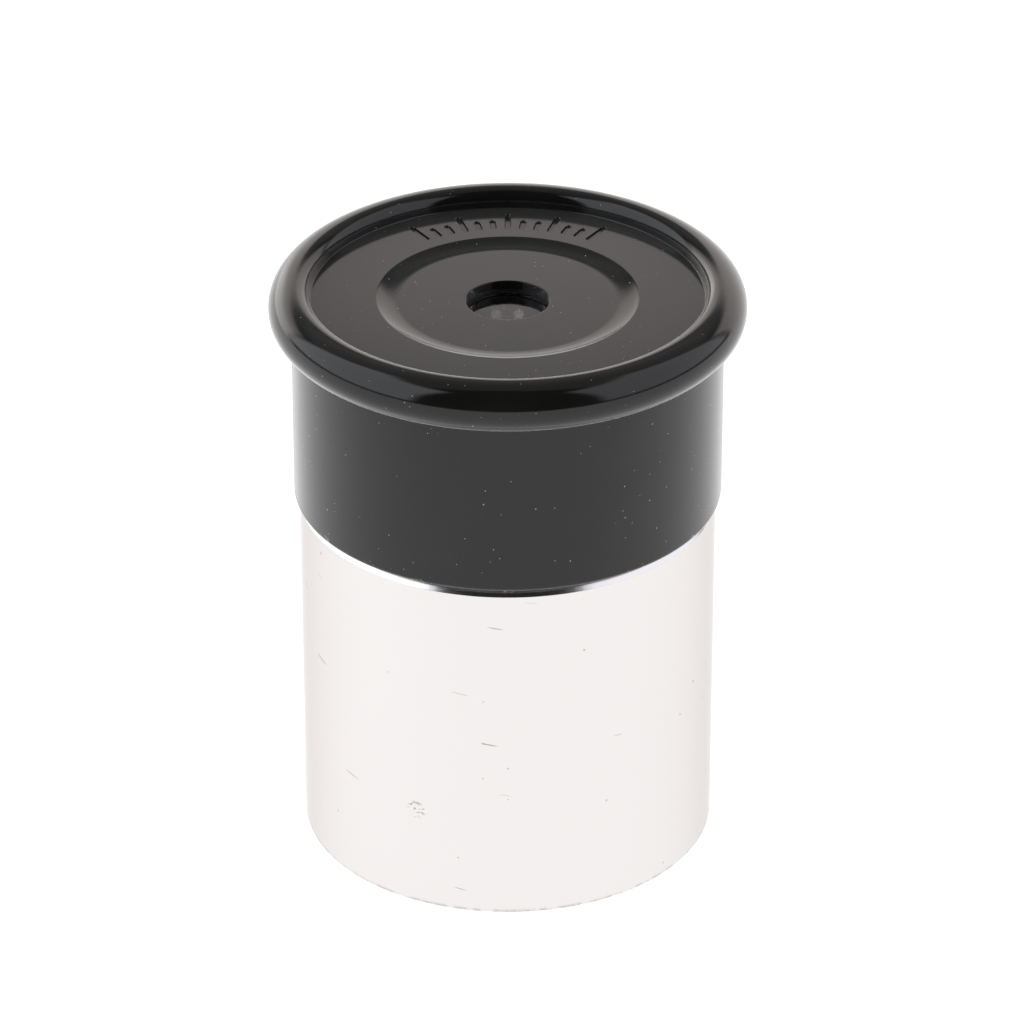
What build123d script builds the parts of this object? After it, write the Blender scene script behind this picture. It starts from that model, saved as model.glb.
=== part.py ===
# A 4 mm symmetrical Ramsden eyepiece for a 0.965 inch (24.5 mm) telescope focuser.
#
# Millimetres. +Z runs along the optical axis towards the eye, and the origin is the centre of the
# barrel's open end, which the eyepiece stands on. From the eye end down: a black moulded head, a
# black lens cell inside it, two equal plano-convex lenses with their curved sides facing across a
# spacer, a field stop, a threaded retaining ring, a fibre washer, and the bright metal barrel that
# screws into the head and clamps the cell.
from build123d import *
import math
import os

# Barrel
barrel_radius = 12.25          # 0.965 inch outside diameter
barrel_length = 22.08          # open end to the shoulder that meets the head
barrel_wall = 1.20
nose_edge_break = 0.15
shoulder_width = 1.25          # outside wall to the crest of the spigot's thread
shoulder_chamfer_width = 0.40
shoulder_chamfer_height = 0.54
spigot_length = 4.40           # threaded neck above the shoulder
spigot_wall = 1.00
web_thickness = 1.10           # metal left under the shoulder
web_slope_height = 1.20
undercut_depth = 0.20
undercut_height = 0.36

# Threads: pitch, radial depth, and the rib's width at its root and crest
screw_pitch = 0.75
screw_depth = 0.38
screw_root = 0.50
screw_crest = 0.14
screw_clearance = 0.06         # radial, at root and crest alike
filter_turns = 4.00
filter_lead_in = 0.45
ring_pitch = 0.50
ring_depth = 0.25
ring_root = 0.33
ring_crest = 0.09
ring_lead = 0.10
rib_overlap = 0.05             # how far a rib's root sinks into its wall

# Head
skirt_overhang = 0.33          # skirt beyond the barrel
skirt_edge_radius = 0.25
head_height = 12.52            # shoulder to the level of the engraved plate
rim_overhang = 1.30            # rim beyond the skirt
rim_rise = 1.06                # crest of the rim above the plate
rim_upper_radius = 1.58
rim_lower_radius = 1.35
rim_neck_radius = 0.30
rim_inner_radius = 0.80        # rounding of the crown into the recess
recess_slope = 85.0            # degrees, of the recess wall
recess_foot_radius = 0.08
dish_radius = 7.62             # shallow dish round the eye hole
dish_depth = 0.26
dish_slope = 23.0              # degrees, at the dish's edge
eye_hole_radius = 2.43
eye_hole_depth = 0.50
eye_hole_edge_radius = 0.05
head_cavity_gap = 0.16         # cavity wall inside the thread's root
head_cavity_corner = 0.60
head_roof = 1.40                # plate to the ceiling of the cavity
boss_wall = 1.30               # tube that guides the lens cell
boss_gap = 1.31                # boss to the cell's flange

# Index marks engraved in the plate, centred on +Y
mark_count = 13
mark_step = 5.5                # degrees
mark_major_every = 3
mark_gap = 0.98                # dish edge to the marks
mark_minor_length = 1.20
mark_major_length = 2.00
mark_width = 0.34
mark_depth = 0.10

# Lenses
lens_seat = 0.24               # lens edge outside the cell's aperture
lens_rim = 0.25                # flat margin round the curved side
lens_curve_margin = 0.45       # radius of the curved side beyond the cap's own radius
lens_edge = 0.70
lens_edge_break = 0.05
lens_gap = 3.35                # curved vertex to curved vertex

# Lens cell and what it holds
cell_lip = 0.28
cell_aperture_step = 0.03      # cell's aperture outside the eye hole
cell_wall = 1.87
cell_collar_wall = 1.40
cell_foot = 0.45               # cell's lower edge below the retaining ring
cell_flange_gap = 0.12         # flange to the spigot's thread root
cell_flange_thickness = 1.30
cell_flange_fillet = 0.40
cell_edge = 0.20
glare_groove_count = 5
glare_groove_width = 0.50
glare_groove_depth = 0.22
spacer_wall = 0.53
spacer_cone = 0.90
stop_thickness = 0.50
stop_aperture = 1.45
stop_recess = 0.30
stop_land = 0.28
ring_height = 1.60
ring_aperture = 1.85
ring_flare = 0.55
ring_ledge = 0.97              # ring's thread crest outside the lens bore
ring_slot_width = 0.80
ring_slot_depth = 0.55
washer_thickness = 0.50
washer_width = 0.80

# Fits
slip_clearance = 0.03          # lenses and spacer in the cell's bore
guide_clearance = 0.05         # cell in the head's boss

# Heights that several pieces share
shoulder_z = barrel_length
spigot_top = shoulder_z + spigot_length
plate_z = shoulder_z + head_height
dish_z = plate_z - dish_depth
cell_top = dish_z - eye_hole_depth
roof_z = plate_z - head_roof
eye_lens_top = cell_top - cell_lip
cell_aperture = eye_hole_radius + cell_aperture_step
lens_radius = cell_aperture + lens_seat
lens_cap_radius = lens_radius - lens_rim
lens_curve = lens_cap_radius + lens_curve_margin
lens_sag = lens_curve - math.sqrt(lens_curve**2 - lens_cap_radius**2)
lens_thickness = lens_edge + lens_sag
field_lens_bottom = eye_lens_top - 2 * lens_thickness - lens_gap
spacer_top = eye_lens_top - lens_edge
spacer_bottom = field_lens_bottom + lens_edge
stop_bottom = field_lens_bottom - stop_thickness
ring_bottom = stop_bottom - ring_height
cell_bottom = ring_bottom - cell_foot
flange_bottom = spigot_top + washer_thickness
flange_top = flange_bottom + cell_flange_thickness
boss_bottom = flange_top + boss_gap

# Radii that several pieces share
barrel_bore = barrel_radius - barrel_wall
skirt_radius = barrel_radius + skirt_overhang
rim_radius = skirt_radius + rim_overhang
screw_radius = barrel_radius - shoulder_width
screw_root_radius = screw_radius - screw_depth
head_thread_radius = screw_radius + screw_clearance
head_cavity_radius = head_thread_radius - head_cavity_gap
spigot_bore = screw_root_radius - spigot_wall
cell_flange_radius = screw_root_radius - cell_flange_gap
lens_bore = lens_radius + slip_clearance
cell_tube_radius = lens_bore + cell_wall
boss_bore = cell_tube_radius + guide_clearance
ring_thread_radius = lens_bore + ring_ledge
cell_thread_radius = ring_thread_radius + screw_clearance
cell_collar_radius = cell_thread_radius + cell_collar_wall

# Where each thread starts and how far it runs. The ribs of a mating pair lie half a pitch apart.
spigot_thread_z = shoulder_z + undercut_height + undercut_depth + screw_root / 2
screw_turns = (spigot_top - undercut_depth - screw_root / 2 - spigot_thread_z) / screw_pitch
head_thread_z = spigot_thread_z - screw_pitch / 2
ring_thread_z = ring_bottom + ring_lead + ring_root / 2
ring_thread_turns = (ring_height - 2 * ring_lead - ring_root) / ring_pitch
cell_thread_z = ring_thread_z - ring_pitch / 2
cell_thread_turns = (ring_height - ring_lead) / ring_pitch


def outline(*lines):
    """A flat face from lines drawn as (radius, height)."""
    edges = []
    for line in lines:
        edges.extend(line.edges())
    return make_face(edges)


def soften(face, corners):
    """Round the outline's corners, each given as (radius, height, rounding)."""
    for x, y, rounding in corners:
        corner = face.vertices().sort_by_distance(Vector(x, y, 0))[0]
        face = fillet(corner, rounding)
    return face


def turned(face):
    """The solid that a (radius, height) outline sweeps about the optical axis."""
    return revolve(Plane.XZ * face, Axis.Z)


def thread_rib(radius, start_z, turns, pitch, depth, root, crest, outward):
    """One right-hand helical rib on a wall of the given radius."""
    path = Helix(pitch=pitch, height=pitch * turns, radius=radius, center=(0, 0, start_z))
    side = 1 if outward else -1
    section = Polygon(
        (-side * rib_overlap, -root / 2),
        (side * depth, -crest / 2),
        (side * depth, crest / 2),
        (-side * rib_overlap, root / 2),
        align=None,
    )
    station = Plane(origin=path @ 0, x_dir=(1, 0, 0), z_dir=(0, 1, 0))
    return sweep(station * section, path=path, is_frenet=True)


def make_eye_shell():
    crest_z = plate_z + rim_rise
    bead_z = crest_z - rim_upper_radius
    lower_centre = (rim_radius - rim_lower_radius, bead_z)
    upper_centre = (rim_radius - rim_upper_radius, bead_z)

    # The neck rounding is tangent to the skirt and to the rim's underside.
    neck_x = skirt_radius + rim_neck_radius
    reach = rim_lower_radius + rim_neck_radius
    neck_run = neck_x - lower_centre[0]
    neck_z = bead_z - math.sqrt(reach**2 - neck_run**2)
    neck_angle = math.degrees(math.atan2(bead_z - neck_z, -neck_run))
    underside_angle = neck_angle - 180

    # The rim's crown turns down into the recess wall on a smaller arc.
    crown = CenterArc(upper_centre, rim_upper_radius, 0, 90)
    crown_inner = CenterArc((upper_centre[0], crest_z - rim_inner_radius), rim_inner_radius, 90, recess_slope)
    wall_top = crown_inner @ 1
    recess_radius = wall_top.X - (wall_top.Y - plate_z) / math.tan(math.radians(recess_slope))

    # The dish rises to its edge on a single arc.
    slope = math.radians(dish_slope)
    dish_curve = dish_depth / (1 - math.cos(slope))
    dish_floor_radius = dish_radius - dish_curve * math.sin(slope)

    skirt_foot = Polyline(
        (head_thread_radius, shoulder_z),
        (skirt_radius, shoulder_z),
        (skirt_radius, neck_z),
    )
    neck = CenterArc((neck_x, neck_z), rim_neck_radius, 180, neck_angle - 180)
    underside = CenterArc(lower_centre, rim_lower_radius, underside_angle, -underside_angle)
    recess = Polyline(
        wall_top,
        (recess_radius, plate_z),
        (dish_radius, plate_z),
    )
    dish = CenterArc((dish_floor_radius, dish_z + dish_curve), dish_curve, dish_slope - 90, -dish_slope)
    inside = Polyline(
        dish @ 1,
        (eye_hole_radius, dish_z),
        (eye_hole_radius, cell_top),
        (boss_bore, cell_top),
        (boss_bore, boss_bottom),
        (boss_bore + boss_wall, boss_bottom),
        (boss_bore + boss_wall, roof_z),
        (head_cavity_radius, roof_z),
        (head_cavity_radius, spigot_top + head_cavity_gap),
        (head_thread_radius, spigot_top),
        (head_thread_radius, shoulder_z),
    )
    face = outline(skirt_foot, neck, underside, crown, crown_inner, recess, dish, inside)
    face = soften(
        face,
        [
            (skirt_radius, shoulder_z, skirt_edge_radius),
            (recess_radius, plate_z, recess_foot_radius),
            (eye_hole_radius, dish_z, eye_hole_edge_radius),
            (boss_bore + boss_wall, roof_z, head_cavity_corner),
            (head_cavity_radius, roof_z, head_cavity_corner),
        ],
    )
    shell = turned(face)
    shell += thread_rib(
        head_thread_radius, head_thread_z, screw_turns,
        screw_pitch, screw_depth, screw_root, screw_crest, outward=False,
    )
    for mark in index_marks():
        shell -= mark
    return shell


def index_marks():
    marks = []
    middle = (mark_count - 1) / 2
    for number in range(mark_count):
        major = number % mark_major_every == 0
        length = mark_major_length if major else mark_minor_length
        bar = extrude(SlotOverall(length, mark_width), amount=2 * mark_depth)
        place = Pos(dish_radius + mark_gap + length / 2, 0, plate_z - mark_depth)
        turn = Rot(0, 0, 90 + (number - middle) * mark_step)
        marks.append(turn * place * bar)
    return marks


def make_barrel():
    web_bottom = shoulder_z - web_thickness
    chamfer_z = shoulder_z - shoulder_chamfer_height
    filter_z = filter_turns * screw_pitch + 2 * filter_lead_in
    filter_radius = barrel_bore + screw_depth
    neck_radius = screw_root_radius - undercut_depth
    face = outline(
        Polyline(
            (filter_radius, 0),
            (barrel_radius, 0),
            (barrel_radius, chamfer_z),
            (barrel_radius - shoulder_chamfer_width, shoulder_z),
            (neck_radius, shoulder_z),
            (neck_radius, shoulder_z + undercut_height),
            (screw_root_radius, shoulder_z + undercut_height + undercut_depth),
            (screw_root_radius, spigot_top - undercut_depth),
            (neck_radius, spigot_top),
            (spigot_bore, spigot_top),
            (spigot_bore, web_bottom),
            (barrel_bore, web_bottom - web_slope_height),
            (barrel_bore, filter_z + screw_depth),
            (filter_radius, filter_z),
            (filter_radius, 0),
        )
    )
    face = soften(
        face,
        [
            (barrel_radius, 0, nose_edge_break),
            (filter_radius, 0, nose_edge_break),
            (barrel_radius, chamfer_z, 0.05),
        ],
    )
    barrel = turned(face)
    barrel += thread_rib(
        screw_root_radius, spigot_thread_z, screw_turns,
        screw_pitch, screw_depth, screw_root, screw_crest, outward=True,
    )
    barrel += thread_rib(
        filter_radius, filter_lead_in, filter_turns,
        screw_pitch, screw_depth, screw_root, screw_crest, outward=False,
    )
    return barrel


def make_lens_cell():
    thread_top = stop_bottom + ring_pitch / 2
    face = outline(
        Polyline(
            (cell_aperture, cell_top),
            (cell_tube_radius, cell_top),
            (cell_tube_radius, flange_top),
            (cell_flange_radius, flange_top),
            (cell_flange_radius, flange_bottom),
            (cell_collar_radius, flange_bottom),
            (cell_collar_radius, cell_bottom),
            (cell_thread_radius, cell_bottom),
            (cell_thread_radius, thread_top),
            (lens_bore, thread_top),
            (lens_bore, eye_lens_top),
            (cell_aperture, eye_lens_top),
            (cell_aperture, cell_top),
        )
    )
    face = soften(
        face,
        [
            (cell_tube_radius, cell_top, cell_edge),
            (cell_tube_radius, flange_top, cell_flange_fillet),
            (cell_flange_radius, flange_top, cell_edge),
            (cell_collar_radius, flange_bottom, cell_flange_fillet),
            (cell_collar_radius, cell_bottom, cell_edge),
            (cell_aperture, cell_top, 0.04),
        ],
    )
    cell = turned(face)
    # Rings cut in the flange's underside, where light from the barrel would glance off it
    first = cell_collar_radius + cell_flange_fillet + glare_groove_width
    last = spigot_bore - glare_groove_width
    for number in range(glare_groove_count):
        middle = first + (last - first) * number / (glare_groove_count - 1)
        cell -= turned(
            outline(
                Polyline(
                    (middle - glare_groove_width / 2, flange_bottom),
                    (middle, flange_bottom + glare_groove_depth),
                    (middle + glare_groove_width / 2, flange_bottom),
                    (middle - glare_groove_width / 2, flange_bottom),
                )
            )
        )
    cell += thread_rib(
        cell_thread_radius, cell_thread_z, cell_thread_turns,
        ring_pitch, ring_depth, ring_root, ring_crest, outward=False,
    )
    return cell


def make_lens(flat_z, up):
    """A plano-convex lens on its flat side, curved side up (+1) or down (-1)."""
    edge_z = flat_z + up * lens_edge
    vertex_z = flat_z + up * lens_thickness
    centre_z = vertex_z - up * lens_curve
    half = math.degrees(math.asin(lens_cap_radius / lens_curve))
    if up > 0:
        cap = CenterArc((0, centre_z), lens_curve, 90, -half)
    else:
        cap = CenterArc((0, centre_z), lens_curve, -90, half)
    rim = Polyline(
        (lens_cap_radius, edge_z),
        (lens_radius, edge_z),
        (lens_radius, flat_z),
        (0, flat_z),
        (0, vertex_z),
    )
    face = outline(cap, rim)
    face = soften(
        face,
        [(lens_radius, edge_z, lens_edge_break), (lens_radius, flat_z, lens_edge_break)],
    )
    return turned(face)


def make_lens_spacer():
    mouth = lens_cap_radius + slip_clearance
    inner = lens_radius - spacer_wall
    return turned(
        outline(
            Polyline(
                (mouth, spacer_bottom),
                (lens_radius, spacer_bottom),
                (lens_radius, spacer_top),
                (mouth, spacer_top),
                (inner, spacer_top - spacer_cone),
                (inner, spacer_bottom + spacer_cone),
                (mouth, spacer_bottom),
            )
        )
    )


def make_field_stop():
    knife = 0.05
    recess_z = field_lens_bottom - stop_recess
    recess = lens_radius - stop_land
    return turned(
        outline(
            Polyline(
                (stop_aperture + 2 * knife, stop_bottom),
                (lens_radius, stop_bottom),
                (lens_radius, field_lens_bottom),
                (recess, field_lens_bottom),
                (recess, recess_z),
                (stop_aperture, recess_z - knife),
                (stop_aperture, recess_z - 2 * knife),
                (stop_aperture + 2 * knife, stop_bottom),
            )
        )
    )


def make_retaining_ring():
    body_radius = ring_thread_radius - ring_depth
    face = outline(
        Polyline(
            (ring_aperture, stop_bottom),
            (body_radius, stop_bottom),
            (body_radius, ring_bottom),
            (ring_aperture + ring_flare, ring_bottom),
            (ring_aperture, ring_bottom + 2 * ring_flare),
            (ring_aperture, stop_bottom),
        )
    )
    ring = turned(face)
    ring += thread_rib(
        body_radius, ring_thread_z, ring_thread_turns,
        ring_pitch, ring_depth, ring_root, ring_crest, outward=True,
    )
    slot = Box(3 * ring_thread_radius, ring_slot_width, 2 * ring_slot_depth)
    return ring - Pos(0, 0, ring_bottom) * slot


def make_seat_washer():
    inner = cell_flange_radius - washer_width
    return turned(
        outline(
            Polyline(
                (inner, spigot_top),
                (cell_flange_radius, spigot_top),
                (cell_flange_radius, flange_bottom),
                (inner, flange_bottom),
                (inner, spigot_top),
            )
        )
    )


nodes = {
    "eye_shell": make_eye_shell(),
    "barrel": make_barrel(),
    "lens_cell": make_lens_cell(),
    "eye_lens": make_lens(eye_lens_top, up=-1),
    "lens_spacer": make_lens_spacer(),
    "field_lens": make_lens(field_lens_bottom, up=1),
    "field_stop": make_field_stop(),
    "retaining_ring": make_retaining_ring(),
    "seat_washer": make_seat_washer(),
}

os.makedirs("parts", exist_ok=True)
for name, solid in nodes.items():
    solid.label = name
    export_step(solid, f"parts/{name}.step")
    print(f"{name:16s} {solid.volume:9.2f} mm3  valid {solid.is_valid}")
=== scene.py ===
import bpy
import bmesh
import math
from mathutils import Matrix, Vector


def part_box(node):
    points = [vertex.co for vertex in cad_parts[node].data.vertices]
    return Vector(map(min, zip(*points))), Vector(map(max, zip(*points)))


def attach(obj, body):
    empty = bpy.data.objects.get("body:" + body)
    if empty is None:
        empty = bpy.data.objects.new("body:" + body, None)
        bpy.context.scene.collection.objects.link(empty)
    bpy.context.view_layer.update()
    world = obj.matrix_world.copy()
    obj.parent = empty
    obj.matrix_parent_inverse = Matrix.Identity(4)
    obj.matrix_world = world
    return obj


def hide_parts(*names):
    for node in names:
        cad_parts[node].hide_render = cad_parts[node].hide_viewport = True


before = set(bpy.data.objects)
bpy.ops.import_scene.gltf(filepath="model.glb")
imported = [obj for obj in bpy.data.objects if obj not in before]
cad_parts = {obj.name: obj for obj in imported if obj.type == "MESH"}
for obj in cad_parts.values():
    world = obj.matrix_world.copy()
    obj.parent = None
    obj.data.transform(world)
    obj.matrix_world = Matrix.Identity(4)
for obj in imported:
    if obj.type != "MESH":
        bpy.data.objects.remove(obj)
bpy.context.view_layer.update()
scene = bpy.context.scene
mm = 0.001
print("frame loaded:", ", ".join(sorted(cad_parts)))


def nodeBox(name):
    # (largest radius, lowest z, highest z) of a CAD node, in mm
    low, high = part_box(name)
    return high.x / mm, low.z / mm, high.z / mm


# node tools

class Num:
    # one output socket; plain operators on it add the nodes that work the sum out
    def __init__(self, maker, socket):
        self.maker = maker
        self.socket = socket

    def __add__(self, other):
        return self.maker.calc("ADD", self, other)

    def __radd__(self, other):
        return self.maker.calc("ADD", other, self)

    def __sub__(self, other):
        return self.maker.calc("SUBTRACT", self, other)

    def __rsub__(self, other):
        return self.maker.calc("SUBTRACT", other, self)

    def __mul__(self, other):
        return self.maker.calc("MULTIPLY", self, other)

    def __rmul__(self, other):
        return self.maker.calc("MULTIPLY", other, self)

    def __truediv__(self, other):
        return self.maker.calc("DIVIDE", self, other)

    def __rtruediv__(self, other):
        return self.maker.calc("DIVIDE", other, self)

    def __pow__(self, other):
        return self.maker.calc("POWER", self, other)

    def __mod__(self, other):
        return self.maker.calc("FLOORED_MODULO", self, other)

    def __neg__(self):
        return self.maker.calc("MULTIPLY", self, -1.0)

    def __abs__(self):
        return self.maker.calc("ABSOLUTE", self)

    def __lt__(self, other):
        return self.maker.calc("LESS_THAN", self, other)

    def __gt__(self, other):
        return self.maker.calc("GREATER_THAN", self, other)


class Maker:
    # adds nodes to one tree
    def __init__(self, tree):
        self.tree = tree

    def add(self, kind, settings=None, values=None, out=0):
        node = self.tree.nodes.new(kind)
        for key, value in (settings or {}).items():
            setattr(node, key, value)
        self.feed(node, values)
        return Num(self, node.outputs[out]) if len(node.outputs) else node

    def feed(self, node, values):
        for key, value in (values or {}).items():
            socket = node.inputs[key]
            if isinstance(value, Num):
                self.tree.links.new(value.socket, socket)
            else:
                socket.default_value = value

    def calc(self, operation, *values):
        return self.add("ShaderNodeMath", {"operation": operation}, dict(enumerate(values)))

    def clamp(self, value):
        return self.add("ShaderNodeClamp", None, {"Value": value})

    def smooth(self, value, low, high):
        # 0 at low, 1 at high, with soft ends
        return self.add("ShaderNodeMapRange", {"interpolation_type": "SMOOTHSTEP"},
                        {"Value": value, "From Min": low, "From Max": high})

    def band(self, value, low, high, soft):
        # 1 between low and high, fading over soft outside them
        return self.smooth(value, low - soft, low) * (1.0 - self.smooth(value, high, high + soft))

    def mixColour(self, factor, a, b):
        # sockets 0, 6 and 7 are the factor and the two colours, and output 2 is the colour
        return self.add("ShaderNodeMix", {"data_type": "RGBA"}, {0: factor, 6: a, 7: b}, out=2)

    def vector(self, x, y, z):
        return self.add("ShaderNodeCombineXYZ", None, {0: x, 1: y, 2: z})

    def split(self, vector):
        parts = self.add("ShaderNodeSeparateXYZ", None, {0: vector}).socket.node
        return [Num(self, output) for output in parts.outputs]


def grey(value):
    return (value, value, value, 1.0)


# outlines and turned pieces

def arc(centre, radius, start, end, steps):
    turns = [math.radians(start + (end - start) * k / steps) for k in range(steps + 1)]
    return [(centre[0] + radius * math.cos(t), centre[1] + radius * math.sin(t)) for t in turns]


def rounded(before, corner, after, radius, steps=8):
    # points of the arc that rounds a corner between two straight sides
    a = (Vector(before) - Vector(corner)).normalized()
    b = (Vector(after) - Vector(corner)).normalized()
    half = a.angle(b) / 2
    middle = Vector(corner) + (a + b).normalized() * radius / math.sin(half)
    reach = radius / math.tan(half)
    first, last = Vector(corner) + a * reach - middle, Vector(corner) + b * reach - middle
    sweep = first.angle_signed(last)
    points = []
    for k in range(steps + 1):
        turn = -sweep * k / steps
        points.append((middle.x + first.x * math.cos(turn) - first.y * math.sin(turn),
                       middle.y + first.x * math.sin(turn) + first.y * math.cos(turn)))
    return points


def outline(items, closed=True, support=0.03):
    # items are corners (r, z) or (r, z, rounding), and lists of points that already lie on a curve
    ends = [(item[0], item[-1]) if isinstance(item, list) else (item[:2], item[:2]) for item in items]
    points = []
    for k, item in enumerate(items):
        if isinstance(item, list):
            points.extend(item)
        elif len(item) == 3:
            points.extend(rounded(ends[k - 1][1], item[:2], ends[(k + 1) % len(items)][0], item[2]))
        else:
            points.append(item)
    # long straight sides get a point near each end, so that a rounding's shading stays on it
    full = []
    count = len(points)
    for k in range(count if closed else count - 1):
        p, q = Vector(points[k]), Vector(points[(k + 1) % count])
        length = (q - p).length
        if length < 1e-5:
            continue
        full.append(tuple(p))
        if length > 6 * support:
            full.append(tuple(p + (q - p) * support / length))
            full.append(tuple(q - (q - p) * support / length))
    if not closed:
        full.append(points[-1])
    return full


def lineMesh(name, points):
    # the outline as a mesh whose points are (r, 0, z), in metres
    mesh = bpy.data.meshes.new(name)
    mesh.from_pydata([(r * mm, 0, z * mm) for r, z in points], [], [])
    piece = bpy.data.objects.new(name, mesh)
    scene.collection.objects.link(piece)
    return piece


def newGroup(name, inputs):
    # a Geometry Nodes tree with a geometry input, the named inputs and a geometry output
    tree = bpy.data.node_groups.new(name, "GeometryNodeTree")
    tree.interface.new_socket("Geometry", in_out="INPUT", socket_type="NodeSocketGeometry")
    for label, kind in inputs:
        tree.interface.new_socket(label, in_out="INPUT", socket_type="NodeSocket" + kind)
    tree.interface.new_socket("Geometry", in_out="OUTPUT", socket_type="NodeSocketGeometry")
    maker = Maker(tree)
    start = tree.nodes.new("NodeGroupInput")
    sockets = {output.name: Num(maker, output) for output in start.outputs if output.name}
    return maker, sockets


def endGroup(maker, geometry, material, sharpAngle):
    angle = maker.add("GeometryNodeInputMeshEdgeAngle")
    geometry = maker.add("GeometryNodeSetShadeSmooth", {"domain": "FACE"},
                         {"Geometry": geometry, "Shade Smooth": True})
    geometry = maker.add("GeometryNodeSetShadeSmooth", {"domain": "EDGE"},
                         {"Geometry": geometry, "Selection": angle > sharpAngle, "Shade Smooth": False})
    geometry = maker.add("GeometryNodeRealizeInstances", None, {"Geometry": geometry})
    geometry = maker.add("GeometryNodeSetMaterial", None, {"Geometry": geometry, "Material": material})
    end = maker.tree.nodes.new("NodeGroupOutput")
    maker.tree.links.new(geometry.socket, end.inputs[0])
    return maker.tree


def makeTurnTree():
    # spins an outline about Z; a closed outline gives a ring-shaped solid
    g, given = newGroup("turn outline", [("Segments", "Int"), ("Closed", "Int"), ("Sharp angle", "Float"),
                                         ("Material", "Material")])
    counted = g.add("GeometryNodeAttributeDomainSize", {"component": "MESH"}, {"Geometry": given["Geometry"]})
    rows = counted + given["Closed"]
    grid = g.add("GeometryNodeMeshGrid", None, {"Size X": 1.0, "Size Y": 1.0, "Vertices Y": rows,
                                                "Vertices X": given["Segments"] + 1})
    index = g.add("GeometryNodeInputIndex")
    sample = g.add("GeometryNodeSampleIndex", {"data_type": "FLOAT_VECTOR", "domain": "POINT"},
                   {"Geometry": given["Geometry"], "Value": g.add("GeometryNodeInputPosition"),
                    "Index": (index % rows) % counted})
    radius, _, height = g.split(sample)
    turn = g.calc("FLOOR", (index + 0.5) / rows) % given["Segments"] * 2 * math.pi / given["Segments"]
    place = g.vector(radius * g.calc("COSINE", turn), radius * g.calc("SINE", turn), height)
    shape = g.add("GeometryNodeSetPosition", None, {"Geometry": grid, "Position": place})
    shape = g.add("GeometryNodeMergeByDistance", None, {"Geometry": shape, "Distance": 1e-7})
    return endGroup(g, shape, given["Material"], given["Sharp angle"])


def makeThreadTree():
    # joins one helical rib to a turned piece; Depth is below zero where the rib points inwards
    g, given = newGroup("cut thread", [
        ("Radius", "Float"), ("Start", "Float"), ("Turns", "Float"), ("Pitch", "Float"), ("Depth", "Float"),
        ("Root", "Float"), ("Crest", "Float"), ("Sink", "Float"), ("Segments", "Int"), ("Run out", "Float"),
        ("Sharp angle", "Float"), ("Material", "Material")])
    steps = g.calc("ROUND", given["Turns"] * given["Segments"])
    grid = g.add("GeometryNodeMeshGrid", None, {"Size X": 1.0, "Size Y": 1.0, "Vertices X": steps + 1,
                                                "Vertices Y": 5})
    index = g.add("GeometryNodeInputIndex")
    corner = (index % 5) % 4
    along = g.calc("FLOOR", (index + 0.5) / 5)
    turned = along / given["Segments"]
    fade = g.clamp(g.calc("MINIMUM", along, steps - along) / (given["Run out"] * given["Segments"]))
    crest = abs(corner - 1.5) < 1.0
    side = g.calc("SIGN", corner - 1.5)
    reach = given["Sink"] * g.calc("SIGN", given["Depth"])
    rise = (given["Depth"] + reach) * crest * fade - reach
    width = (given["Root"] + (given["Crest"] - given["Root"]) * crest) * 0.5 * side * fade
    radius = given["Radius"] + rise
    angle = turned * 2 * math.pi
    place = g.vector(radius * g.calc("COSINE", angle), radius * g.calc("SINE", angle),
                     given["Start"] + turned * given["Pitch"] + width)
    rib = g.add("GeometryNodeSetPosition", None, {"Geometry": grid, "Position": place})
    rib = g.add("GeometryNodeMergeByDistance", None, {"Geometry": rib, "Distance": 1e-7})
    flip = given["Depth"] < 0.0
    rib = g.add("GeometryNodeFlipFaces", None, {"Mesh": rib, "Selection": flip})
    joined = g.add("GeometryNodeMeshBoolean", {"operation": "UNION", "solver": "MANIFOLD"},
                   {"Mesh 2": given["Geometry"]})
    g.tree.links.new(rib.socket, joined.socket.node.inputs["Mesh 2"])
    return endGroup(g, joined, given["Material"], given["Sharp angle"])


def makeMarksTree():
    # engraves a fan of radial bars, with a long one at every "Long every"
    g, given = newGroup("engrave marks", [
        ("Short bar", "Object"), ("Long bar", "Object"), ("Count", "Int"), ("Step", "Float"),
        ("Long every", "Int"), ("Start radius", "Float"), ("Level", "Float"), ("Centre", "Float"),
        ("Sharp angle", "Float"), ("Material", "Material")])
    index = g.add("GeometryNodeInputIndex")
    row = g.add("GeometryNodeMeshLine", None, {"Count": given["Count"]})
    turn = given["Centre"] + (index - (given["Count"] - 1) / 2) * given["Step"]
    start = given["Start radius"]
    place = g.vector(start * g.calc("COSINE", turn), start * g.calc("SINE", turn), given["Level"])
    row = g.add("GeometryNodeSetPosition", None, {"Geometry": row, "Position": place})
    long = (index % given["Long every"]) < 0.5
    bars = []
    for label, chosen in (("Short bar", 1.0 - long), ("Long bar", long)):
        shape = g.add("GeometryNodeObjectInfo", None, {"Object": given[label]}, out="Geometry")
        bars.append(g.add("GeometryNodeInstanceOnPoints", None,
                          {"Points": row, "Selection": chosen, "Instance": shape,
                           "Rotation": g.vector(0.0, 0.0, turn)}))
    both = g.add("GeometryNodeJoinGeometry", None, {0: bars[0]})
    g.tree.links.new(bars[1].socket, both.socket.node.inputs[0])
    cutters = g.add("GeometryNodeRealizeInstances", None, {"Geometry": both})
    cut = g.add("GeometryNodeMeshBoolean", {"operation": "DIFFERENCE", "solver": "MANIFOLD"},
                {"Mesh 1": given["Geometry"], "Mesh 2": cutters})
    return endGroup(g, cut, given["Material"], given["Sharp angle"])


turnTree = makeTurnTree()
threadTree = makeThreadTree()
marksTree = makeMarksTree()


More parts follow.
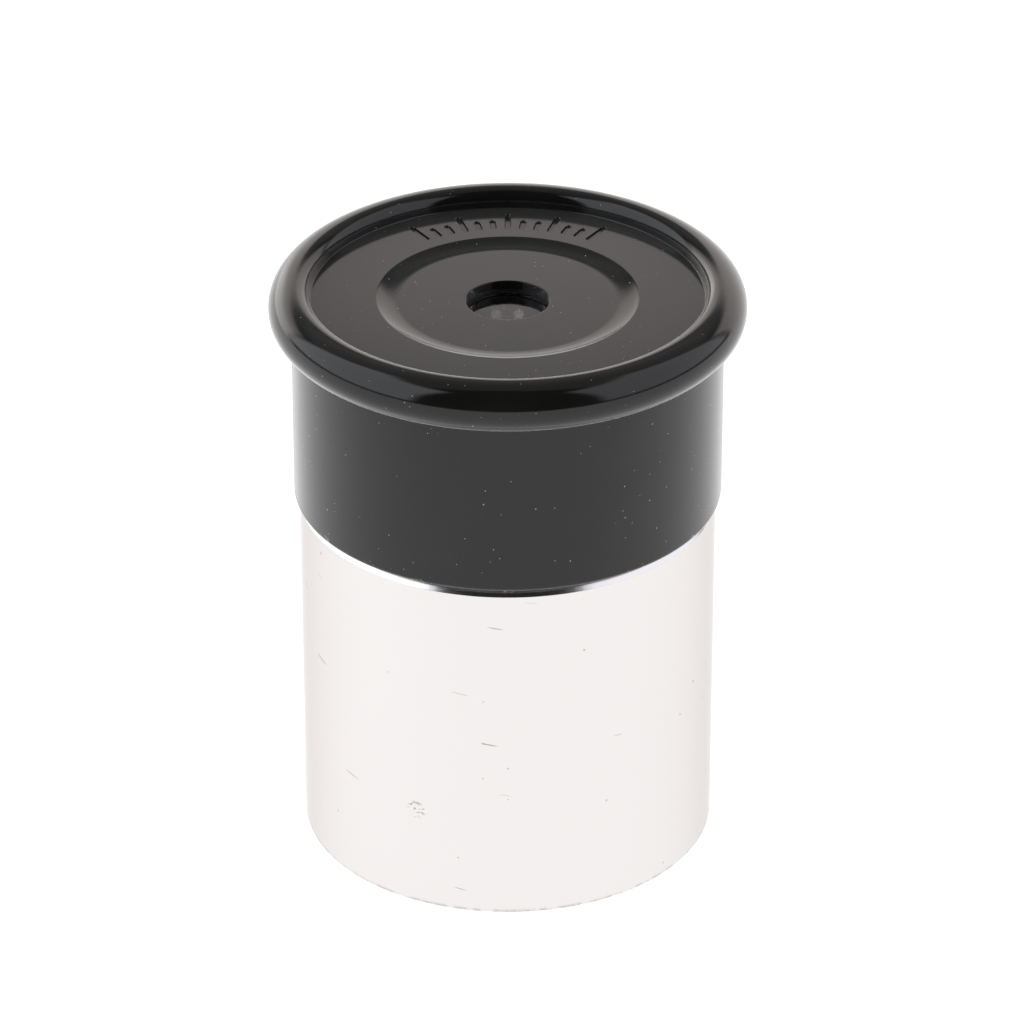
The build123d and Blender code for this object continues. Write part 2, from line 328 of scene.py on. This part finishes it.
def applyTree(piece, tree, values):
    modifier = piece.modifiers.new(tree.name, "NODES")
    modifier.node_group = tree
    sockets = {item.name: item.identifier for item in tree.interface.items_tree
               if item.item_type == "SOCKET" and item.in_out == "INPUT"}
    for label, value in values.items():
        modifier[sockets[label]] = value


def settle(piece, slotName, body, *nodes):
    # turns the modifiers' result into the piece's own plain mesh, then hangs it under its body's empty and
    # hides the CAD nodes it stands in for
    bpy.context.view_layer.update()
    shown = piece.evaluated_get(bpy.context.evaluated_depsgraph_get())
    mesh = bpy.data.meshes.new_from_object(shown)
    mesh.name = piece.name
    piece.modifiers.clear()
    piece.data = mesh
    shape = bmesh.new()
    shape.from_mesh(mesh)
    bmesh.ops.recalc_face_normals(shape, faces=shape.faces)
    volume = shape.calc_volume(signed=True)
    if volume < 0:
        bmesh.ops.reverse_faces(shape, faces=shape.faces)
    loose = sum(not edge.is_manifold for edge in shape.edges)
    shape.to_mesh(mesh)
    shape.free()
    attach(piece, body)
    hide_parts(*nodes)
    print(f"{piece.name}: {len(mesh.polygons)} faces, open edges {loose}, "
          f"volume {abs(volume) * 1e9:.1f} mm3")


# finishes

def startFinish(name, **constants):
    material = bpy.data.materials.new(name)
    material.use_nodes = True
    m = Maker(material.node_tree)
    m.tree.nodes.clear()
    shader = m.add("ShaderNodeBsdfPrincipled", None, constants)
    m.add("ShaderNodeOutputMaterial", None, {"Surface": shader})
    m.material = material
    m.shader = shader.socket.node
    m.place = m.add("ShaderNodeTexCoord", None, None, out="Object")
    return m


def lathePlace(m):
    # distance from the axis and height in mm, and the turn about the axis in radians
    x, y, z = m.split(m.place)
    radius = m.calc("SQRT", x * x + y * y) / mm
    return radius, z / mm, m.calc("ARCTAN2", x, -y)


def noise(m, vector, scale, detail=2.0, roughness=0.5):
    return m.add("ShaderNodeTexNoise", None,
                 {"Vector": vector, "Scale": scale, "Detail": detail, "Roughness": roughness})


def bump(m, height, distance, strength):
    return m.add("ShaderNodeBump", None, {"Height": height, "Distance": distance, "Strength": strength})


def specks(m, vector, cells, share, small, large, flat=False):
    # spots between two sizes, in shares of a cell; flat takes vector's X and Y alone
    settings = {"feature": "F1", "voronoi_dimensions": "2D" if flat else "3D"}
    values = {"Vector": vector, "Scale": cells}
    spot = m.add("ShaderNodeTexVoronoi", settings, values, out="Distance")
    pick = m.add("ShaderNodeTexVoronoi", settings, values, out="Color")
    chance, size, spare = m.split(pick)
    edge = small + size * (large - small)
    return (chance < share) * m.clamp((edge - spot) / (small * 0.5)) * (0.25 + 0.75 * spare)


plasticLook = {
    "colour": (0.0070, 0.0066, 0.0060, 1.0),
    "dust": (0.55, 0.53, 0.50, 1.0),
    "film": (0.0100, 0.0095, 0.0088, 1.0),     # thin haze, in clouds
    "filmFrom": (0.40, 0.75),
    "cloudCells": 260.0,       # per metre, as are the next three
    "grainCells": 9000.0,
    "sweptCells": 1100.0,
    "dustCells": 2000.0,
    "dustShare": 0.48,         # of the cells hold a speck
    "speckSizes": (0.05, 0.10),
    "edgeDust": 0.35,          # strength of the dust along the skirt's foot
    "edgeBand": (0.15, 0.60),  # mm above the skirt's foot where that dust thins out
    "sweptFrom": (0.60, 0.66),
    "glossRoughness": 0.10,
    "satinRoughness": 0.06,    # this and the next three are added to the gloss
    "cloudRoughness": 0.05,
    "insideRoughness": 0.3,
    "dustRoughness": 0.4,
    "satinBelow": 32.45,       # mm, the skirt and all under the rim
    "insideRadius": 11.2,      # mm, the duller inside, below insideTop
    "insideTop": 33.2,
    "grainBump": (0.00002, 0.05),
}


def makeHeadPlastic():
    look = plasticLook
    m = startFinish("mouldedBlackPlastic", **{"IOR": 1.44, "Sheen Weight": 1.0, "Sheen Roughness": 0.3})
    radius, height, _ = lathePlace(m)
    satin = 1.0 - m.smooth(height, look["satinBelow"] - 0.1, look["satinBelow"] + 0.2)
    inside = 1.0 - m.smooth(radius, look["insideRadius"], look["insideRadius"] + 0.15)
    below = 1.0 - m.smooth(height, look["insideTop"], look["insideTop"] + 0.2)
    inner = inside * below
    cloud = noise(m, m.place, look["cloudCells"], 3.0)
    grain = noise(m, m.place, look["grainCells"], 2.0)
    dust = specks(m, m.place, look["dustCells"], look["dustShare"], *look["speckSizes"])
    rough = look["glossRoughness"] + (cloud - 0.5) * look["cloudRoughness"] \
        + satin * look["satinRoughness"] + inner * look["insideRoughness"]
    skirtFoot = nodeBox("eye_shell")[1]
    swept = m.smooth(noise(m, m.place, look["sweptCells"], 4.0, 0.7), *look["sweptFrom"])
    bandLow, bandHigh = look["edgeBand"]
    edgeDust = (1.0 - m.smooth(height, skirtFoot + bandLow, skirtFoot + bandHigh)) * swept * (1.0 - inside)
    dust = m.clamp(dust + edgeDust * look["edgeDust"])
    film = m.mixColour(m.smooth(cloud, *look["filmFrom"]), look["colour"], look["film"])
    colour = m.mixColour(dust, film, look["dust"])
    m.feed(m.shader, {
        "Base Color": colour,
        "Roughness": m.clamp(rough + dust * look["dustRoughness"]),
        "Normal": bump(m, grain, *look["grainBump"]),
    })
    return m.material


metalLook = {
    "colour": (0.752, 0.724, 0.716, 1.0),
    "inside": (0.30, 0.30, 0.30, 1.0),
    "pit": (0.30, 0.27, 0.25, 1.0),
    "wall": 0.65,              # mm in from the outside where the dull bore starts
    "wallFade": 0.2,
    "neckFade": 0.3,
    "streakHeight": 0.012,     # how fast the two grains change along the tube
    "fineHeight": 6.0,
    "streakCells": 26.0,
    "fineCells": 9.0,
    "pitCells": 0.67,          # per mm
    "pitShare": 0.07,
    "pitSizes": (0.03, 0.06),
    "scratchStretch": 7.0,     # length over width
    "scratchLean": (0.37, 0.12),
    "scratchShare": 0.16,
    "scratchSizes": (0.035, 0.07),
    "chipCells": 5.0,
    "chipFrom": (0.54, 0.60),
    "lipBand": (0.10, 0.32),   # mm above the lower edge
    "lipCells": 1400.0,
    "lipFrom": (0.42, 0.58),
    "lipWear": 0.6,
    "wearDarkening": 0.75,
    # the knocked place: how far round from the front, how high, and its radius, in mm
    "nick": (-5.5, 6.5, 0.75),
    "roughness": 0.17,
    "streakRoughness": 0.08,
    "insideRoughness": 0.25,
    "wearRoughness": 0.2,
    "grainBump": (0.00003, 0.15),
}


def makeBarrelMetal():
    look = metalLook
    m = startFinish("brightPlatedMetal", **{"Metallic": 1.0, "Specular Tint": (0.80, 0.78, 0.76, 1.0)})
    radius, height, turn = lathePlace(m)
    outer = nodeBox("barrel")[0]
    neckFoot = nodeBox("eye_shell")[1]
    neck = m.smooth(height, neckFoot - look["neckFade"], neckFoot)     # as bright as the outside
    wall = outer - look["wall"]
    inner = (1.0 - m.smooth(radius, wall, wall + look["wallFade"])) * (1.0 - neck)
    streakPlace = m.vector(m.calc("COSINE", turn), m.calc("SINE", turn), height * look["streakHeight"])
    streaks = noise(m, streakPlace, look["streakCells"], 4.0, 0.6)
    finePlace = m.vector(m.calc("COSINE", turn), m.calc("SINE", turn), height * look["fineHeight"])
    fine = noise(m, finePlace, look["fineCells"], 3.0)
    along = turn * outer
    flat = m.vector(along, height, 0.0)
    pits = specks(m, flat, look["pitCells"], look["pitShare"], *look["pitSizes"], flat=True)
    leanAlong, leanUp = look["scratchLean"]
    drawn = m.vector(along / look["scratchStretch"] + height * leanAlong, height + along * leanUp, 0.0)
    scratches = specks(m, drawn, 1.0, look["scratchShare"], *look["scratchSizes"], flat=True)
    nickAlong, nickHeight, nickRadius = look["nick"]
    reach = m.calc("SQRT", (along - nickAlong) ** 2 + (height - nickHeight) ** 2)
    chips = noise(m, m.vector(along * 0.5, height, 0.0), look["chipCells"], 3.0, 0.6)
    nick = (1.0 - m.smooth(reach, nickRadius * 0.5, nickRadius)) * m.smooth(chips, *look["chipFrom"])
    lipNoise = noise(m, m.place, look["lipCells"], 3.0, 0.7)
    lip = (1.0 - m.smooth(height, *look["lipBand"])) * m.smooth(lipNoise, *look["lipFrom"])
    wear = m.clamp(pits + scratches + nick + lip * look["lipWear"]) * (1.0 - inner)
    colour = m.mixColour(inner, look["colour"], look["inside"])
    colour = m.mixColour(wear * look["wearDarkening"], colour, look["pit"])
    rough = look["roughness"] + (streaks - 0.5) * look["streakRoughness"] \
        + inner * look["insideRoughness"] + wear * look["wearRoughness"]
    m.feed(m.shader, {
        "Base Color": colour,
        "Roughness": m.clamp(rough),
        "Normal": bump(m, streaks * 0.7 + fine * 0.3, *look["grainBump"]),
    })
    return m.material


cellLook = {
    "dark": 0.010,
    "light": 0.020,
    "ringStretch": 3.0,
    "ringCells": 6.0,
    "grainCells": 6000.0,      # per metre
    "roughness": 0.42,
    "ringRoughness": 0.2,
    "bump": (0.00002, 0.3),
}


def makeCellPlastic():
    look = cellLook
    m = startFinish("turnedMatteBlack", **{"IOR": 1.46})
    radius, height, _ = lathePlace(m)
    stretch = look["ringStretch"]
    rings = noise(m, m.vector(radius * stretch, height * stretch, 0.0), look["ringCells"], 3.0)
    grain = noise(m, m.place, look["grainCells"])
    m.feed(m.shader, {
        "Base Color": m.mixColour(grain, grey(look["dark"]), grey(look["light"])),
        "Roughness": m.clamp(look["roughness"] + (rings - 0.5) * look["ringRoughness"]),
        "Normal": bump(m, rings + grain * 0.4, *look["bump"]),
    })
    return m.material


blackMetalLook = {
    "dark": 0.018,
    "worn": 0.06,
    "ringStretch": 4.0,
    "ringCells": 8.0,
    "wearCells": 2400.0,       # per metre
    "wearFrom": (0.62, 0.72),
    "roughness": 0.38,
    "ringRoughness": 0.2,
    "bump": (0.00002, 0.4),
}


def makeBlackMetal():
    look = blackMetalLook
    m = startFinish("blackedMetal", **{"IOR": 1.5})
    radius, height, _ = lathePlace(m)
    stretch = look["ringStretch"]
    rings = noise(m, m.vector(radius * stretch, height * stretch, 0.0), look["ringCells"], 3.0)
    wear = m.smooth(noise(m, m.place, look["wearCells"], 3.0), *look["wearFrom"])
    m.feed(m.shader, {
        "Base Color": m.mixColour(wear, grey(look["dark"]), grey(look["worn"])),
        "Roughness": m.clamp(look["roughness"] + (rings - 0.5) * look["ringRoughness"]),
        "Normal": bump(m, rings, *look["bump"]),
    })
    return m.material


fibreLook = {
    "dark": 0.015,
    "light": 0.05,
    "cells": 5200.0,           # per metre
    "roughness": 0.75,
    "fibreRoughness": 0.2,
    "bump": (0.00006, 0.7),
}


def makeFibre():
    look = fibreLook
    m = startFinish("blackFibre", **{"IOR": 1.4})
    fibres = noise(m, m.place, look["cells"], 5.0, 0.7)
    m.feed(m.shader, {
        "Base Color": m.mixColour(fibres, grey(look["dark"]), grey(look["light"])),
        "Roughness": m.clamp(look["roughness"] + fibres * look["fibreRoughness"]),
        "Normal": bump(m, fibres, *look["bump"]),
    })
    return m.material


glassLook = {
    "smearCells": 900.0,       # per metre
    "smearFrom": (0.45, 0.8),
    "smearRoughness": 0.03,
}


def makeLensGlass():
    look = glassLook
    m = startFinish("lensGlass", **{"IOR": 1.57, "Transmission Weight": 1.0,
                                    "Base Color": (0.97, 0.985, 0.98, 1.0)})
    smear = noise(m, m.place, look["smearCells"], 4.0)
    m.feed(m.shader, {"Roughness": m.clamp(m.smooth(smear, *look["smearFrom"]) * look["smearRoughness"])})
    return m.material


finishes = {
    "head_plastic": makeHeadPlastic(),
    "barrel_metal": makeBarrelMetal(),
    "cell_plastic": makeCellPlastic(),
    "lens_glass": makeLensGlass(),
    "black_metal": makeBlackMetal(),
    "fibre": makeFibre(),
}
nodeFinishes = {
    "lens_cell": "cell_plastic",
    "lens_spacer": "black_metal",
    "field_stop": "black_metal",
    "retaining_ring": "black_metal",
    "seat_washer": "fibre",
}
for nodeName, finishName in nodeFinishes.items():
    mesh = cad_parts[nodeName].data
    if not mesh.materials:
        mesh.materials.append(None)
    for k in range(len(mesh.materials)):
        mesh.materials[k] = finishes[finishName]
print("finishes made:", len(finishes))


# threads shared by head and barrel, mm

screw = {
    "pitch": 0.75, "depth": 0.38, "root": 0.50, "crest": 0.14, "sink": 0.06,
    "undercutHeight": 0.36, "undercutDepth": 0.20, "segments": 96, "runOut": 0.08,
}
pieceSegments = 288
sharpAngle = math.radians(28)

rimRadius, shoulder, crestHeight = nodeBox("eye_shell")
barrelRadius, barrelFoot, spigotTop = nodeBox("barrel")
cellTop = nodeBox("lens_cell")[2]
spigotThreadStart = shoulder + screw["undercutHeight"] + screw["undercutDepth"] + screw["root"] / 2
spigotTurns = (spigotTop - screw["undercutDepth"] - screw["root"] / 2 - spigotThreadStart) / screw["pitch"]


def addThread(piece, finish, radius, start, turns, inward):
    side = -1 if inward else 1
    applyTree(piece, threadTree, {
        "Radius": radius * mm, "Start": start * mm, "Turns": turns, "Pitch": screw["pitch"] * mm,
        "Depth": side * screw["depth"] * mm, "Root": screw["root"] * mm, "Crest": screw["crest"] * mm,
        "Sink": screw["sink"] * mm, "Segments": screw["segments"], "Run out": screw["runOut"],
        "Sharp angle": sharpAngle, "Material": finish})


# head

head = {                       # mm and degrees
    "skirtInset": 1.30,        # skirt inside the rim's outer edge
    "skirtEdge": 0.25,
    "rimUpper": 1.58,
    "rimLower": 1.35,
    "neckRounding": 0.30,
    "rimRise": 1.06,           # rim's crest above the plate
    "crownInner": 0.80,        # rounding of the crown into the recess
    "wallSlope": 85.0,
    "recessFoot": 0.08,
    "dishRadius": 7.62,
    "dishDepth": 0.26,
    "dishSlope": 23.0,
    "eyeHole": 2.43,
    "eyeHoleEdge": 0.05,
    "bossWall": 1.30,
    "bossBore": 4.65,
    "bossFoot": 29.59,
    "roof": 1.40,              # plate to the ceiling of the cavity
    "threadRadius": 11.06,
    "cavityRadius": 10.90,
    "cavityCorner": 0.60,
}
marks = {
    "count": 13, "step": 5.5, "longEvery": 3, "gap": 0.98, "short": 1.20, "long": 2.00,
    "width": 0.34, "depth": 0.10, "draft": 0.03, "edge": 0.022,
}


def headOutline():
    h = head
    skirt = rimRadius - h["skirtInset"]
    bead = crestHeight - h["rimUpper"]
    plate = crestHeight - h["rimRise"]
    lower = (rimRadius - h["rimLower"], bead)
    upper = (rimRadius - h["rimUpper"], bead)
    neckX = skirt + h["neckRounding"]
    reach = h["rimLower"] + h["neckRounding"]
    neckZ = bead - math.sqrt(reach ** 2 - (neckX - lower[0]) ** 2)
    neckAngle = math.degrees(math.atan2(bead - neckZ, lower[0] - neckX))
    # the recess wall leans out, and rounds into the crown and into the plate
    crown = arc((upper[0], crestHeight - h["crownInner"]), h["crownInner"], 90, 90 + h["wallSlope"], 20)
    wallFoot = crown[-1][0] - (crown[-1][1] - plate) / math.tan(math.radians(h["wallSlope"]))
    slope = math.radians(h["dishSlope"])
    curve = h["dishDepth"] / (1 - math.cos(slope))
    floorRadius = h["dishRadius"] - curve * math.sin(slope)
    dish = plate - h["dishDepth"]
    roof = plate - h["roof"]
    bossOut = h["bossBore"] + h["bossWall"]
    return outline([
        (h["threadRadius"], shoulder),
        (skirt, shoulder, h["skirtEdge"]),
        arc((neckX, neckZ), h["neckRounding"], 180, neckAngle, 8),
        arc(lower, h["rimLower"], neckAngle - 180, 0, 22),
        arc(upper, h["rimUpper"], 0, 90, 30)[1:],
        crown[1:],
        (wallFoot, plate, h["recessFoot"]),
        (h["dishRadius"], plate),
        arc((floorRadius, dish + curve), curve, h["dishSlope"] - 90, -90, 14)[1:],
        (h["eyeHole"], dish, h["eyeHoleEdge"]),
        (h["eyeHole"], cellTop),
        (h["bossBore"], cellTop),
        (h["bossBore"], h["bossFoot"]),
        (bossOut, h["bossFoot"]),
        (bossOut, roof, h["cavityCorner"]),
        (h["cavityRadius"], roof, h["cavityCorner"]),
        (h["cavityRadius"], spigotTop + h["threadRadius"] - h["cavityRadius"]),
        (h["threadRadius"], spigotTop),
    ])


def barCutter(name, length):
    # a bar with round ends along +X from the origin, its sides leaning out and its top edge broken
    half = marks["width"] / 2
    rows = [(-marks["depth"], half - marks["draft"]), (-marks["edge"], half),
            (0.0, half + marks["edge"]), (marks["depth"], half + marks["edge"] + marks["depth"])]
    steps = 10
    points, faces = [], []
    for height, reach in rows:
        for end, start in ((length - half, -90), (half, 90)):
            around = arc((end, 0), reach, start, start + 180, steps)
            points.extend((x * mm, y * mm, height * mm) for x, y in around)
    ring = 2 * (steps + 1)
    faces.append(tuple(reversed(range(ring))))
    for level in range(len(rows) - 1):
        for k in range(ring):
            a, b = level * ring + k, level * ring + (k + 1) % ring
            faces.append((a, b, b + ring, a + ring))
    faces.append(tuple(range((len(rows) - 1) * ring, len(rows) * ring)))
    mesh = bpy.data.meshes.new(name)
    mesh.from_pydata(points, [], faces)
    return bpy.data.objects.new(name, mesh)


def makeHead():
    finish = finishes["head_plastic"]
    piece = lineMesh("headShell", headOutline())
    applyTree(piece, turnTree, {"Segments": pieceSegments, "Closed": 1, "Sharp angle": sharpAngle,
                                "Material": finish})
    threadStart = spigotThreadStart - screw["pitch"] / 2
    addThread(piece, finish, head["threadRadius"], threadStart, spigotTurns, inward=True)
    shortBar = barCutter("shortBar", marks["short"])
    longBar = barCutter("longBar", marks["long"])
    applyTree(piece, marksTree, {
        "Short bar": shortBar, "Long bar": longBar, "Count": marks["count"],
        "Step": math.radians(marks["step"]), "Long every": marks["longEvery"],
        "Start radius": (head["dishRadius"] + marks["gap"]) * mm,
        "Level": (crestHeight - head["rimRise"]) * mm, "Centre": math.pi / 2, "Sharp angle": sharpAngle,
        "Material": finish})
    settle(piece, "head_plastic", "head", "eye_shell")
    for bar in (shortBar, longBar):
        bpy.data.objects.remove(bar)


makeHead()


# barrel

barrel = {                     # mm
    "bore": 11.05,
    "edgeBreak": 0.15,
    "chamferWidth": 0.40,
    "chamferHeight": 0.54,
    "chamferEdge": 0.05,
    "shoulderWidth": 1.25,
    "spigotWall": 1.00,
    "web": 1.10,
    "webSlope": 1.20,
    "filterTurns": 4.0,
    "filterLead": 0.45,
}


def makeBarrel():
    b = barrel
    finish = finishes["barrel_metal"]
    root = barrelRadius - b["shoulderWidth"] - screw["depth"]
    neck = root - screw["undercutDepth"]
    spigotBore = root - b["spigotWall"]
    filterRadius = b["bore"] + screw["depth"]
    filterTop = b["filterTurns"] * screw["pitch"] + 2 * b["filterLead"]
    webFoot = shoulder - b["web"]
    chamferZ = shoulder - b["chamferHeight"]
    points = outline([
        (filterRadius, barrelFoot, b["edgeBreak"]),
        (barrelRadius, barrelFoot, b["edgeBreak"]),
        (barrelRadius, chamferZ, b["chamferEdge"]),
        (barrelRadius - b["chamferWidth"], shoulder, b["chamferEdge"]),
        (neck, shoulder),
        (neck, shoulder + screw["undercutHeight"]),
        (root, shoulder + screw["undercutHeight"] + screw["undercutDepth"]),
        (root, spigotTop - screw["undercutDepth"]),
        (neck, spigotTop),
        (spigotBore, spigotTop),
        (spigotBore, webFoot),
        (b["bore"], webFoot - b["webSlope"]),
        (b["bore"], filterTop + screw["depth"]),
        (filterRadius, filterTop),
    ])
    piece = lineMesh("barrelTube", points)
    applyTree(piece, turnTree, {"Segments": pieceSegments, "Closed": 1, "Sharp angle": sharpAngle,
                                "Material": finish})
    addThread(piece, finish, root, spigotThreadStart, spigotTurns, inward=False)
    addThread(piece, finish, filterRadius, b["filterLead"], b["filterTurns"], inward=True)
    settle(piece, "barrel_metal", "barrel", "barrel")


makeBarrel()


# lenses, each with one flat and one curved side, mm

lens = {
    "edge": 0.70,
    "rim": 0.25,               # flat margin round the curved side
    "curveMargin": 0.45,       # radius of the curve beyond the curved side's own radius
    "edgeBreak": 0.05,
    "steps": 24,
    "segments": 144,
}


def makeLens(name, nodeName, flatUp):
    finish = finishes["lens_glass"]
    radius, low, high = nodeBox(nodeName)
    cap = radius - lens["rim"]
    curve = cap + lens["curveMargin"]
    half = math.degrees(math.asin(cap / curve))
    edge = high - lens["edge"]
    points = outline([
        arc((0, low + curve), curve, -90, half - 90, lens["steps"]),
        (radius, edge, lens["edgeBreak"]),
        (radius, high, lens["edgeBreak"]),
        (0, high),
    ], closed=False)
    if not flatUp:
        points = [(r, low + high - z) for r, z in points]
    piece = lineMesh(name, points)
    applyTree(piece, turnTree, {"Segments": lens["segments"], "Closed": 0, "Sharp angle": sharpAngle,
                                "Material": finish})
    settle(piece, "lens_glass", "cell", nodeName)


makeLens("eyeLensGlass", "eye_lens", flatUp=True)
makeLens("fieldLensGlass", "field_lens", flatUp=False)
print("lenses made")


# floor, light and camera

studio = {
    "floorRadius": 3.0,        # metres
    "floorLevel": -0.00002,    # metres, just clear of the barrel's foot
    "floorSides": 96,
    "floorTurn": (100.0, 165.0),       # degrees from the back, where the sides blend into the front
    "floorFront": 1.17,
    "floorLeft": 1.20,
    "floorRight": 1.17,
    "lights": [
        # turn from the back towards the right, half width, lowest and highest rise, softness, colour
        {"turn": 0.0, "half": 52.0, "low": -5.0, "high": 25.4, "soft": 6.0, "light": (1.26, 1.17, 1.12)},
        {"turn": -38.0, "half": 14.0, "low": -5.0, "high": 12.0, "soft": 14.0, "light": (2.60, 2.50, 2.40)},
        {"turn": -97.0, "half": 35.0, "low": 8.0, "high": 60.0, "soft": 7.0, "light": (1.66, 1.70, 1.80)},
        {"turn": 97.0, "half": 35.0, "low": 8.0, "high": 60.0, "soft": 7.0, "light": (1.18, 1.20, 1.27)},
    ],
    "ambient": 0.02,
    "ceiling": {"low": 30.0, "soft": 12.0, "back": 100.0, "light": (0.28, 0.27, 0.26)},
}


def makeFloor():
    mesh = bpy.data.meshes.new("floor")
    rim = arc((0, 0), studio["floorRadius"], 0, 360, studio["floorSides"])[:-1]
    mesh.from_pydata([(x, y, studio["floorLevel"]) for x, y in rim], [], [tuple(range(len(rim)))])
    floor = bpy.data.objects.new("floor", mesh)
    scene.collection.objects.link(floor)
    m = startFinish("palePaper", **{"Roughness": 0.9, "Specular IOR Level": 0.1, "Base Color": grey(0.05),
                                    "Emission Strength": 1.0})
    x, y, _ = m.split(m.place)
    turn = m.calc("ARCTAN2", x, y) * 180 / math.pi
    side = m.mixColour(turn < 0.0, grey(studio["floorRight"]), grey(studio["floorLeft"]))
    glow = m.mixColour(m.smooth(abs(turn), *studio["floorTurn"]), side, grey(studio["floorFront"]))
    m.feed(m.shader, {"Emission Color": glow})
    floor.data.materials.append(m.material)


def makeWorld():
    world = bpy.data.worlds.new("studio")
    world.use_nodes = True
    m = Maker(world.node_tree)
    m.tree.nodes.clear()
    x, y, z = m.split(m.add("ShaderNodeTexCoord", None, None, out="Generated"))
    degree = 180 / math.pi
    turn = m.calc("ARCTAN2", x, y) * degree
    rise = m.calc("ARCSINE", m.clamp(z)) * degree
    total = grey(studio["ambient"])
    ceiling = studio["ceiling"]
    mask = m.smooth(rise, ceiling["low"], ceiling["low"] + ceiling["soft"]) \
        * (1.0 - m.smooth(abs(turn), ceiling["back"], ceiling["back"] + 2 * ceiling["soft"]))
    total = m.mixColour(mask, total, (*ceiling["light"], 1.0))
    for light in studio["lights"]:
        mask = (1.0 - m.smooth(abs(turn - light["turn"]), light["half"], light["half"] + light["soft"])) \
            * m.band(rise, light["low"], light["high"], light["soft"])
        total = m.mixColour(mask, total, (*light["light"], 1.0))
    seen = m.add("ShaderNodeLightPath", None, None, out="Is Camera Ray")
    total = m.mixColour(seen, total, grey(1.0))
    m.add("ShaderNodeOutputWorld", None, {"Surface": m.add("ShaderNodeBackground", None, {"Color": total})})
    scene.world = world


camera = {                     # mm and degrees
    "target": (0.248, 0.0, 20.239),
    "distance": 350.0,
    "elevation": 29.50,
    "focal": 5.784,            # focal length over sensor width
    "sensor": 36.0,
}


def makeCamera():
    data = bpy.data.cameras.new("camera")
    data.sensor_width = camera["sensor"]
    data.lens = camera["focal"] * camera["sensor"]
    data.clip_start = 0.01
    data.clip_end = 20.0
    eye = bpy.data.objects.new("camera", data)
    scene.collection.objects.link(eye)
    rise = math.radians(camera["elevation"])
    back = Vector((0.0, -math.cos(rise), math.sin(rise)))
    eye.location = (Vector(camera["target"]) + back * camera["distance"]) * mm
    eye.rotation_euler = (-back).to_track_quat("-Z", "Y").to_euler()
    scene.camera = eye


makeFloor()
makeWorld()
makeCamera()
scene.view_settings.view_transform = "Standard"
print("stage set")
